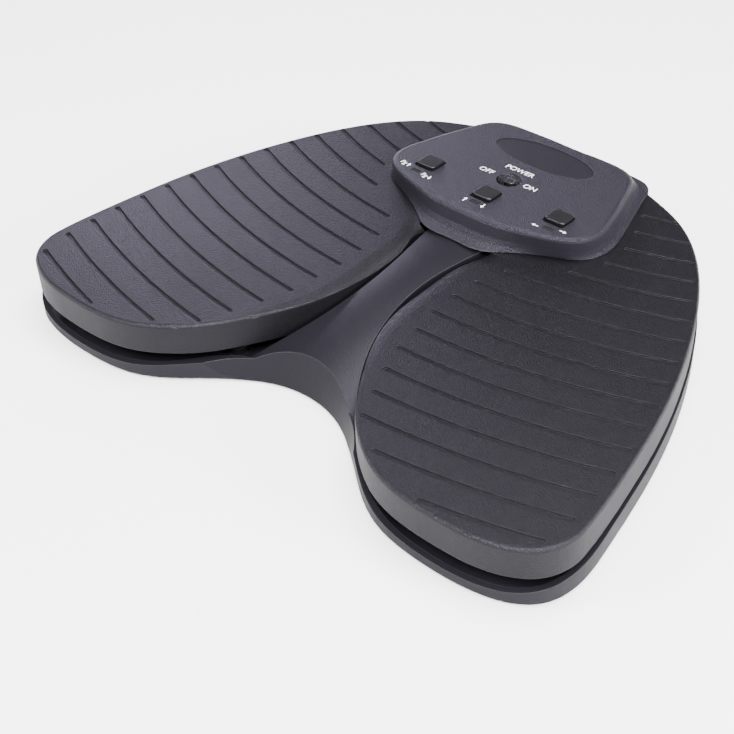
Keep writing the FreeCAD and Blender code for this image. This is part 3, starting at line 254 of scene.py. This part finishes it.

# %% [markdown]
# ## Colour of a moulding
# Plastic is lighter on its edges, partly from wear and partly as a painted highlight. The pits of
# its grain are darker and the grain's tops lighter, which is painted shade and light between the
# bumps. Both could be painted. Here they follow the masks of the shared effects, so they fall in
# the right places on every piece.

# %% Colour of a moulding
# edge colour: lighter on edges, partly wear and partly a painted highlight
EDGE_WEAR_AND_HIGHLIGHT_GAIN = 1.5
EDGE_WEAR_AND_HIGHLIGHT_LIFT = 0.025
PIT_SHADE_SHARE = 0.35


# the edges' lighter colour is partly wear and partly a painted highlight
def worn_and_highlit_colour(tree, colour, edge, edge_wear_and_highlight):
    base = add(tree, "ShaderNodeMix", data_type="RGBA")
    base.inputs["A"].default_value = (*colour, 1)
    base.inputs["B"].default_value = (*[min(1.0, c * EDGE_WEAR_AND_HIGHLIGHT_GAIN + EDGE_WEAR_AND_HIGHLIGHT_LIFT) for c in colour], 1)
    tree.links.new(spread(tree, edge, 0.0, 1.0, 0.0, edge_wear_and_highlight), base.inputs["Factor"])
    return base.outputs["Result"]


# painted shade: darker in the grain's pits and lighter on its tops
def pit_shaded_colour(tree, colour, pits):
    shaded = add(tree, "ShaderNodeMix", data_type="RGBA", blend_type="MULTIPLY")
    shaded.inputs["Factor"].default_value = PIT_SHADE_SHARE
    tree.links.new(colour, shaded.inputs["A"])
    tree.links.new(spread(tree, pits, 0.2, 0.75, 0.75, 1.15), shaded.inputs["B"])
    return shaded.outputs["Result"]


print("colours: worn_and_highlit_colour, pit_shaded_colour")

# %% [markdown]
# ## Plastic
# Nearly all of this object is moulded plastic. Each piece could have its own graph, but they
# differ only in values, so one maker serves them all. `shine` holds the two roughness values of the
# handling marks, `sides` dulls the upright walls, `rolled` deepens the grain on leaning faces, and
# `polish` makes the edges glossier. Gloss that is the same all over is set on the shader's socket.
# `gloss` raises it on edges and leaning faces through a link, which an exported model loses.

# %% Plastic
GRAIN_FINE = 0.3


def rubbed_gloss(tree, skin, edge, lean, specular, gloss):
    rubbed = combine(tree, "MAXIMUM", lean, edge)
    level = spread(tree, rubbed, 0.0, 1.0, specular, specular * gloss)
    tree.links.new(level, skin.inputs["Specular IOR Level"])


# the edge setting lightens the edges' colour: partly wear, partly a painted highlight
def plastic(name, colour, shine=(0.42, 0.55), grain_size=1500.0, depth=0.35, edge_wear_and_highlight=0.35,
            coat=0.0, specular=0.5, sides=0.0, rolled=1.0, polish=0.0, gloss=1.0, tint=(1, 1, 1)):
    material = bpy.data.materials.new(name)
    material.use_nodes = True
    tree = material.node_tree
    skin = tree.nodes["Principled BSDF"]
    skin.inputs["Specular IOR Level"].default_value = specular
    skin.inputs["Specular Tint"].default_value = (*tint, 1)
    skin.inputs["Coat Weight"].default_value = coat
    pebble = use_group(tree, grain, Size=grain_size, Depth=depth, Fine=GRAIN_FINE)
    touch = use_group(tree, handling, Low=shine[0], High=shine[1])
    rim = use_group(tree, edges, Width=EDGE_WIDTH)
    edge = rim.outputs["Edge"]
    # base colour: lighter edges (partly wear, partly painted highlight) and painted shade in the grain's
    # pits
    colour_out = pit_shaded_colour(tree, worn_and_highlit_colour(tree, colour, edge, edge_wear_and_highlight), pebble.outputs["Pits"])
    tree.links.new(colour_out, skin.inputs["Base Color"])
    height = face_height(tree)
    dull_sides = spread(tree, height, 0.35, 0.6, sides, 0.0)
    rough = combine(tree, "ADD", touch.outputs["Roughness"], dull_sides)
    rough = combine(tree, "SUBTRACT", rough, spread(tree, edge, 0.0, 1.0, 0.0, polish))
    tree.links.new(rough, skin.inputs["Roughness"])
    lean = leaning(tree, height)
    tree.links.new(spread(tree, lean, 0.0, 1.0, depth, depth * rolled), pebble.inputs["Depth"])
    if gloss != 1.0:
        rubbed_gloss(tree, skin, edge, lean, specular, gloss)
    tree.links.new(rim.outputs["Normal"], pebble.inputs["Normal"])
    tree.links.new(pebble.outputs["Normal"], skin.inputs["Normal"])
    return material


print("maker: plastic")

# %% [markdown]
# ## The housings
# Pedals, tray and console are moulded in black. The photo's highlights on them are faintly violet.
# That could come from coloured light, but then the floor would be tinted too, so the tint is on the
# plastics' own shine. The console has the deepest grain and is the roughest, and the tray has the
# shallowest grain.

# %% The housings
VIOLET = (0.90, 0.86, 1.0)
pedal_skin = plastic("pedal plastic", (0.0032, 0.0029, 0.0038), shine=(0.31, 0.38), grain_size=2000,
                     depth=1.1, edge_wear_and_highlight=0.3, specular=0.16, sides=0.22, rolled=1.8, polish=0.12,
                     gloss=1.5, tint=VIOLET)
tray_skin = plastic("tray plastic", (0.0070, 0.0063, 0.0084), shine=(0.30, 0.38), grain_size=1800,
                    depth=0.5, edge_wear_and_highlight=0.9, specular=0.12, sides=0.22, rolled=1.0, polish=0.12,
                    tint=VIOLET)
console_skin = plastic("console plastic", (0.0066, 0.0059, 0.0090), shine=(0.36, 0.46),
                       grain_size=2000, depth=1.5, edge_wear_and_highlight=0.4, specular=0.26, sides=0.30,
                       rolled=1.8, polish=0.12, tint=VIOLET)
print("housings: 3")

# %% [markdown]
# ## The dark dish
# The round dish under the power knob is polished and darker than the cover round it. It could be
# a second material on some faces, but the cover is one mesh that stays unchanged. A mask of the
# distance from the dish's middle blends the two finishes within one material.

# %% The dark dish
DISH_AT = (0.0, 65.6 * MM, 0.0)
DISH_RADIUS = 6.0 * MM
DISH_BLEND = 0.2 * MM
DISH_FINISH = [("Base Color", "RGBA", (0.0025, 0.0024, 0.0028, 1)), ("Roughness", "FLOAT", 0.16)]


def blacken_dish(material):
    tree = material.node_tree
    skin = tree.nodes["Principled BSDF"]
    place = add(tree, "ShaderNodeTexCoord")
    flat = add(tree, "ShaderNodeVectorMath", operation="MULTIPLY")
    flat.inputs[1].default_value = (1, 1, 0)
    away = add(tree, "ShaderNodeVectorMath", operation="DISTANCE")
    away.inputs[1].default_value = DISH_AT
    tree.links.new(place.outputs["Object"], flat.inputs[0])
    tree.links.new(flat.outputs["Vector"], away.inputs[0])
    inside = spread(tree, away.outputs["Value"], DISH_RADIUS, DISH_RADIUS + DISH_BLEND, 1.0, 0.0)
    for socket, kind, value in DISH_FINISH:
        old = skin.inputs[socket].links[0].from_socket
        blend = add(tree, "ShaderNodeMix", data_type=kind)
        blend.inputs["B"].default_value = value
        tree.links.new(inside, blend.inputs["Factor"])
        tree.links.new(old, blend.inputs["A"])
        tree.links.new(blend.outputs["Result"], skin.inputs[socket])


blacken_dish(console_skin)
print("dish radius:", DISH_RADIUS)

# %% [markdown]
# ## Small plastic pieces
# Buttons, knob, badge plate, lamp windows and switch bodies have a smoother skin than the housings.
# They use the same maker with finer and shallower grain, so no new graph is needed. The buttons
# have the lightest edges, partly wear and partly a painted highlight, which sets them off from the
# cover.

# %% Small plastic pieces
button_skin = plastic("button plastic", (0.0050, 0.0048, 0.0058), shine=(0.28, 0.36),
                      grain_size=2400, depth=0.3, edge_wear_and_highlight=1.0, specular=0.3)
knob_skin = plastic("knob plastic", (0.005, 0.005, 0.006), shine=(0.22, 0.32), grain_size=2600,
                    depth=0.08)
badge_skin = plastic("badge plastic", (0.0062, 0.0056, 0.0085), shine=(0.34, 0.42),
                     grain_size=3000, depth=0.1, specular=0.3)
window_skin = plastic("window plastic", (0.010, 0.0095, 0.012), shine=(0.12, 0.2),
                      grain_size=3000, depth=0.03)
switch_skin = plastic("switch body", (0.015, 0.015, 0.016), shine=(0.3, 0.4), grain_size=2600,
                      depth=0.1)
print("small plastics: 5")

# %% [markdown]
# ## Metal
# The rod is ground, the screws are plated, and the magnets and cell contacts are nickel. Metal has
# no colour below its shine, so the shader is fully metallic. A fine noise as bump gives the drawn
# or ground lines, and stretching it along one axis turns specks into lines.

# %% Metal
LINE_SIZE = 900.0
LINE_STRENGTH = 0.12
LINE_HEIGHT = 0.1 * MM


def metal(name, colour, shine=(0.22, 0.38), stretch=(1, 1, 1)):
    material = bpy.data.materials.new(name)
    material.use_nodes = True
    tree = material.node_tree
    skin = tree.nodes["Principled BSDF"]
    skin.inputs["Metallic"].default_value = 1.0
    skin.inputs["Base Color"].default_value = (*colour, 1)
    touch = use_group(tree, handling, Low=shine[0], High=shine[1])
    tree.links.new(touch.outputs["Roughness"], skin.inputs["Roughness"])
    place = add(tree, "ShaderNodeTexCoord")
    turned = add(tree, "ShaderNodeMapping")
    turned.inputs["Scale"].default_value = stretch
    lines = add(tree, "ShaderNodeTexNoise")
    lines.inputs["Scale"].default_value = LINE_SIZE
    bump = add(tree, "ShaderNodeBump")
    bump.inputs["Strength"].default_value = LINE_STRENGTH
    bump.inputs["Distance"].default_value = LINE_HEIGHT
    tree.links.new(place.outputs["Object"], turned.inputs["Vector"])
    tree.links.new(turned.outputs["Vector"], lines.inputs["Vector"])
    tree.links.new(lines.outputs["Fac"], bump.inputs["Height"])
    tree.links.new(bump.outputs["Normal"], skin.inputs["Normal"])
    return material


rod_steel = metal("rod steel", (0.62, 0.62, 0.64), stretch=(0.05, 1, 1))
screw_steel = metal("screw steel", (0.48, 0.48, 0.50))
spring_steel = metal("spring steel", (0.42, 0.42, 0.44))
nickel = metal("nickel", (0.66, 0.65, 0.62), shine=(0.12, 0.25))
print("metals: 4")

# %% [markdown]
# ## Rubber, boards, cells and lamps
# These pieces are inside or below and show only through gaps and from underneath. The plastic
# maker is enough for them: rubber is very rough, boards and cell wraps get a clear coat, and the
# lamps' resin lets half of the light through.

# %% Rubber, boards, cells and lamps
RESIN_CLEAR = 0.5


def lamp_resin():
    material = plastic("lamp lens", (0.72, 0.76, 0.70), shine=(0.1, 0.2), grain_size=3000, depth=0.02)
    skin = material.node_tree.nodes["Principled BSDF"]
    skin.inputs["Transmission Weight"].default_value = RESIN_CLEAR
    return material


rubber = plastic("rubber", (0.020, 0.020, 0.021), shine=(0.7, 0.85), grain_size=2200, depth=0.3,
                 edge_wear_and_highlight=0.1)
lead_skin = plastic("lead jacket", (0.045, 0.045, 0.055), shine=(0.4, 0.5), grain_size=3000,
                    depth=0.1)
board_skin = plastic("circuit board", (0.018, 0.115, 0.045), shine=(0.25, 0.35), grain_size=3000,
                     depth=0.05, coat=0.3)
cell_skin = plastic("cell wrap", (0.05, 0.14, 0.22), shine=(0.2, 0.3), grain_size=3000, depth=0.03,
                    coat=0.4)
lamp_skin = lamp_resin()
print("inner materials: 5")

# %% [markdown]
# ## Dress each node
# Every node of the frame takes one material. Slots could be set one by one in the interface. A
# table of names does it in a loop, and a node that the table forgets stops the script at once.

# %% Dress each node
DRESS = {
    "base_tray": tray_skin, "battery_door": tray_skin,
    "left_pedal": pedal_skin, "right_pedal": pedal_skin,
    "console_cover": console_skin, "badge_plate": badge_skin,
    "mode_button_left": button_skin, "mode_button_centre": button_skin,
    "mode_button_right": button_skin, "power_knob": knob_skin,
    "power_switch": switch_skin, "tact_switches": switch_skin,
    "lamps": lamp_skin, "lamp_windows": window_skin,
    "main_board": board_skin, "inlet_board": board_skin,
    "left_sensor_board": board_skin, "right_sensor_board": board_skin,
    "left_sensor_lead": lead_skin, "right_sensor_lead": lead_skin,
    "board_screws": screw_steel, "case_screws": screw_steel, "usb_inlet": screw_steel,
    "hinge_rod": rod_steel, "left_spring": spring_steel, "right_spring": spring_steel,
    "left_magnet": nickel, "right_magnet": nickel, "cell_contacts": nickel,
    "pedal_stops": rubber, "rubber_feet": rubber, "battery_cells": cell_skin}
for name, node in nodes.items():
    node.data.materials.clear()
    node.data.materials.append(DRESS[name])
print("dressed:", len(DRESS))

# %% [markdown]
# ## Return springs
# A spring shortens when its pedal goes down, and a fixed coil would poke into the pressed pedal.
# Here each coil is a copy of the spring with a mesh of its own. It stands on the base, and the
# spring node itself is hidden.


def spring_coil(side):
    source = nodes[side + "_spring"]
    coil = bpy.data.objects.new(side + "_spring_coil", source.data.copy())
    bpy.context.scene.collection.objects.link(coil)
    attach(coil, "base")
    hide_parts(side + "_spring")
    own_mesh(coil)


SIDES = ("left", "right")
for side in SIDES:
    spring_coil(side)
print("coils:", len(SIDES))

# %% [markdown]
# ## Printed signs
# The console has white signs: words beside the switch, and page signs and arrows beside the
# buttons. An image texture would do, but thin raised letters stay sharp at any distance. The
# console's top falls to the rear, so one matrix lays every sign on it.

# %% Lay a sign on the console
CONSOLE_SLOPE = math.radians(3.633)
CONSOLE_PEAK = 43.7 * MM
PRINT_THICK = 0.06 * MM
PRINT_LIFT = 0.02 * MM
console_plane = Matrix.Translation((0, 0, CONSOLE_PEAK)) @ Matrix.Rotation(-CONSOLE_SLOPE, 4, "X")
print_ink = plastic("print", (0.80, 0.80, 0.82), shine=(0.45, 0.6), grain_size=2600, depth=0.1,
                    edge_wear_and_highlight=0.0)
prints = []


def lay_on_console(piece, x, y, turn):
    bpy.context.scene.collection.objects.link(piece)
    spot = Matrix.Translation((x * MM, y * MM, PRINT_LIFT)) @ Matrix.Rotation(turn, 4, "Z")
    piece.matrix_world = console_plane @ spot
    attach(piece, "base")
    prints.append(piece)


print("console plane:", [round(v, 4) for v in console_plane.translation])

# %% [markdown]
# ## Words
# A word is a text curve with a little thickness. Offsetting its outline outwards makes the thin
# strokes bold enough to read. Sizes and places are in millimetres from the middle of the part.

# %% Words
WORD_HIGH = 4.6
PAGE_HIGH = 3.7
PRINT_BOLD = 0.01 * MM
WORDS = [("off", "OFF", -13.3, 65.9), ("power", "POWER", -1.1, 75.6), ("on", "ON", 11.6, 66.1)]


def word(name, text, x, y, high, turn=0.0):
    curve = bpy.data.curves.new(name, "FONT")
    curve.body = text
    curve.size = high * MM
    curve.extrude = PRINT_THICK / 2
    curve.offset = PRINT_BOLD
    curve.align_x = "CENTER"
    curve.align_y = "CENTER"
    curve.materials.append(print_ink)
    lay_on_console(bpy.data.objects.new(name, curve), x, y, turn)


for name, text, x, y in WORDS:
    word("sign_" + name, text, x, y, WORD_HIGH)
print("words:", len(prints))

# %% [markdown]
# ## Arrows
# An arrow is a flat outline of seven points, raised to the thickness of the print. It could come
# from a font's arrow sign, but not every font has one, and its shape would be out of our hands.

# %% Arrows
SHAFT_HALF = 0.25
HEAD_HALF = 0.95
HEAD_LONG = 1.5
ARROW_LONG = 3.6


def arrow_outline(long):
    tip = long / 2
    neck = tip - HEAD_LONG
    return [(-SHAFT_HALF, -tip), (SHAFT_HALF, -tip), (SHAFT_HALF, neck), (HEAD_HALF, neck),
            (0, tip), (-HEAD_HALF, neck), (-SHAFT_HALF, neck)]


def arrow(name, x, y, turn, long=ARROW_LONG):
    mesh = bpy.data.meshes.new(name)
    build = bmesh.new()
    face = build.faces.new([build.verts.new((a * MM, b * MM, 0)) for a, b in arrow_outline(long)])
    raised = bmesh.ops.extrude_face_region(build, geom=[face])
    lifted = [part for part in raised["geom"] if isinstance(part, bmesh.types.BMVert)]
    bmesh.ops.translate(build, verts=lifted, vec=(0, 0, PRINT_THICK))
    bmesh.ops.recalc_face_normals(build, faces=build.faces)
    build.to_mesh(mesh)
    build.free()
    mesh.materials.append(print_ink)
    lay_on_console(bpy.data.objects.new(name, mesh), x, y, turn)


print("arrow:", len(arrow_outline(ARROW_LONG)), "points")

# %% [markdown]
# ## Signs beside the buttons
# The left button has two page signs, each of letters and an arrow, and the other two buttons have
# plain arrows. The left row slopes with the console's front edge, so its letters are turned too.

# %% Signs beside the buttons
ROW_SLOPE = math.radians(-11)
PAGE_ARROW_LONG = 3.0
LETTERS_SHIFT = (-1.2, 0.2)
ARROW_SHIFT = (2.1, -0.2)
PAGE_SIGNS = [("next", -45.9, 45.5, 0.0), ("last", -31.1, 42.6, math.pi)]
ARROWS = [("up", -4.8, 38.5, 0.0), ("down", 5.0, 39.2, math.pi),
          ("back", 32.1, 41.9, math.pi / 2), ("forward", 44.7, 45.4, -math.pi / 2)]
for name, x, y, turn in PAGE_SIGNS:
    word("sign_page_" + name, "Pg", x + LETTERS_SHIFT[0], y + LETTERS_SHIFT[1], PAGE_HIGH, ROW_SLOPE)
    arrow("sign_page_arrow_" + name, x + ARROW_SHIFT[0], y + ARROW_SHIFT[1], turn, PAGE_ARROW_LONG)
for name, x, y, turn in ARROWS:
    arrow("sign_" + name, x, y, turn)
print("prints:", len(prints))

# %% [markdown]
# ## Floor and room
# The object stands on a pale sheet of paper. A large plane is enough, with a rough white that
# throws light up at the walls of the housings. The room adds a weak light from all round, which
# keeps the shadows open.

# %% Floor and room
FLOOR_REACH = 4.0
PAPER_WHITE = (0.9, 0.9, 0.9, 1)
PAPER_ROUGH = 0.9
ROOM_LIGHT = 0.18

floor_mesh = bpy.data.meshes.new("floor")
corners = [(x * FLOOR_REACH, y * FLOOR_REACH, 0) for x, y in ((-1, -1), (1, -1), (1, 1), (-1, 1))]
floor_mesh.from_pydata(corners, [], [(0, 1, 2, 3)])
floor = bpy.data.objects.new("floor", floor_mesh)
bpy.context.scene.collection.objects.link(floor)
paper = bpy.data.materials.new("paper")
paper.use_nodes = True
paper_skin = paper.node_tree.nodes["Principled BSDF"]
paper_skin.inputs["Base Color"].default_value = PAPER_WHITE
paper_skin.inputs["Roughness"].default_value = PAPER_ROUGH
floor_mesh.materials.append(paper)

world = bpy.data.worlds.new("studio")
world.use_nodes = True
room = world.node_tree.nodes["Background"]
room.inputs["Color"].default_value = (1, 1, 1, 1)
room.inputs["Strength"].default_value = ROOM_LIGHT
bpy.context.scene.world = world
print("floor:", 2 * FLOOR_REACH, "m wide")

# %% [markdown]
# ## Lights
# Black plastic shows what it mirrors more than its own colour, so each light has a place in
# which some face mirrors it towards the camera. One light could give the brightness, but not these
# reflections. The key stands in front on the right and the top light a little behind. Side lights
# draw the skirts and the console's rim. Two cool lights behind on the left, one of them low, lay the
# sheen on the left wing and the right wing's rolled edge.

# %% Lights
COOL = (0.84, 0.80, 1.0)
MIDDLE = (0.0, 0.0, 0.02)
LEFT_WING = (-0.11, 0.0, 0.03)


def soft_light(name, place, aim, wide, power, tint=(1, 1, 1)):
    lamp = bpy.data.lights.new(name, "AREA")
    lamp.shape = "RECTANGLE"
    lamp.size, lamp.size_y = wide
    lamp.energy = power
    lamp.color = tint
    piece = bpy.data.objects.new(name, lamp)
    piece.location = place
    piece.rotation_mode = "QUATERNION"
    piece.rotation_quaternion = (Vector(aim) - Vector(place)).to_track_quat("-Z", "Y")
    bpy.context.scene.collection.objects.link(piece)
    return piece


lights = [
    soft_light("key_light", (0.62, -0.72, 1.15), MIDDLE, (0.45, 0.45), 72),
    soft_light("top_light", (0.10, 0.25, 1.4), MIDDLE, (0.8, 0.8), 48),
    soft_light("right_light", (1.10, 0.15, 0.50), MIDDLE, (0.45, 0.35), 26),
    soft_light("front_left_light", (-0.65, -0.80, 0.80), MIDDLE, (0.35, 0.35), 18),
    soft_light("rear_left_light", (-0.75, 0.42, 0.42), LEFT_WING, (0.30, 0.22), 3.9, COOL),
    soft_light("low_left_light", (-1.15, 0.65, 0.17), MIDDLE, (1.4, 0.22), 4, COOL)]
print("lights:", len(lights), "and the room")

# %% [markdown]
# ## Camera
# The camera stands where the photographer stood. That place was found by fitting the part's
# outline and grooves to the photo. It is written as a point to look at, a direction back from it, a
# distance and a small roll, because these four read more easily than a matrix.

# %% Camera
CAMERA_TARGET = Vector((29.05, -67.94, 30.0)) * MM
CAMERA_BACK = Vector((0.5197, -0.5509, 0.6530)).normalized()
CAMERA_AWAY = 562.1 * MM
CAMERA_ROLL = math.radians(-2.875)
CAMERA_LENS = 67.9
FILM_WIDE = 36.0

camera_data = bpy.data.cameras.new("camera")
camera_data.lens = CAMERA_LENS
camera_data.sensor_width = FILM_WIDE
camera = bpy.data.objects.new("camera", camera_data)
bpy.context.scene.collection.objects.link(camera)
camera.location = CAMERA_TARGET + CAMERA_BACK * CAMERA_AWAY
camera.rotation_mode = "QUATERNION"
aim = (-CAMERA_BACK).to_track_quat("-Z", "Y")
camera.rotation_quaternion = aim @ Quaternion((0, 0, 1), CAMERA_ROLL)
bpy.context.scene.camera = camera
print("camera:", [round(v, 4) for v in camera.location])
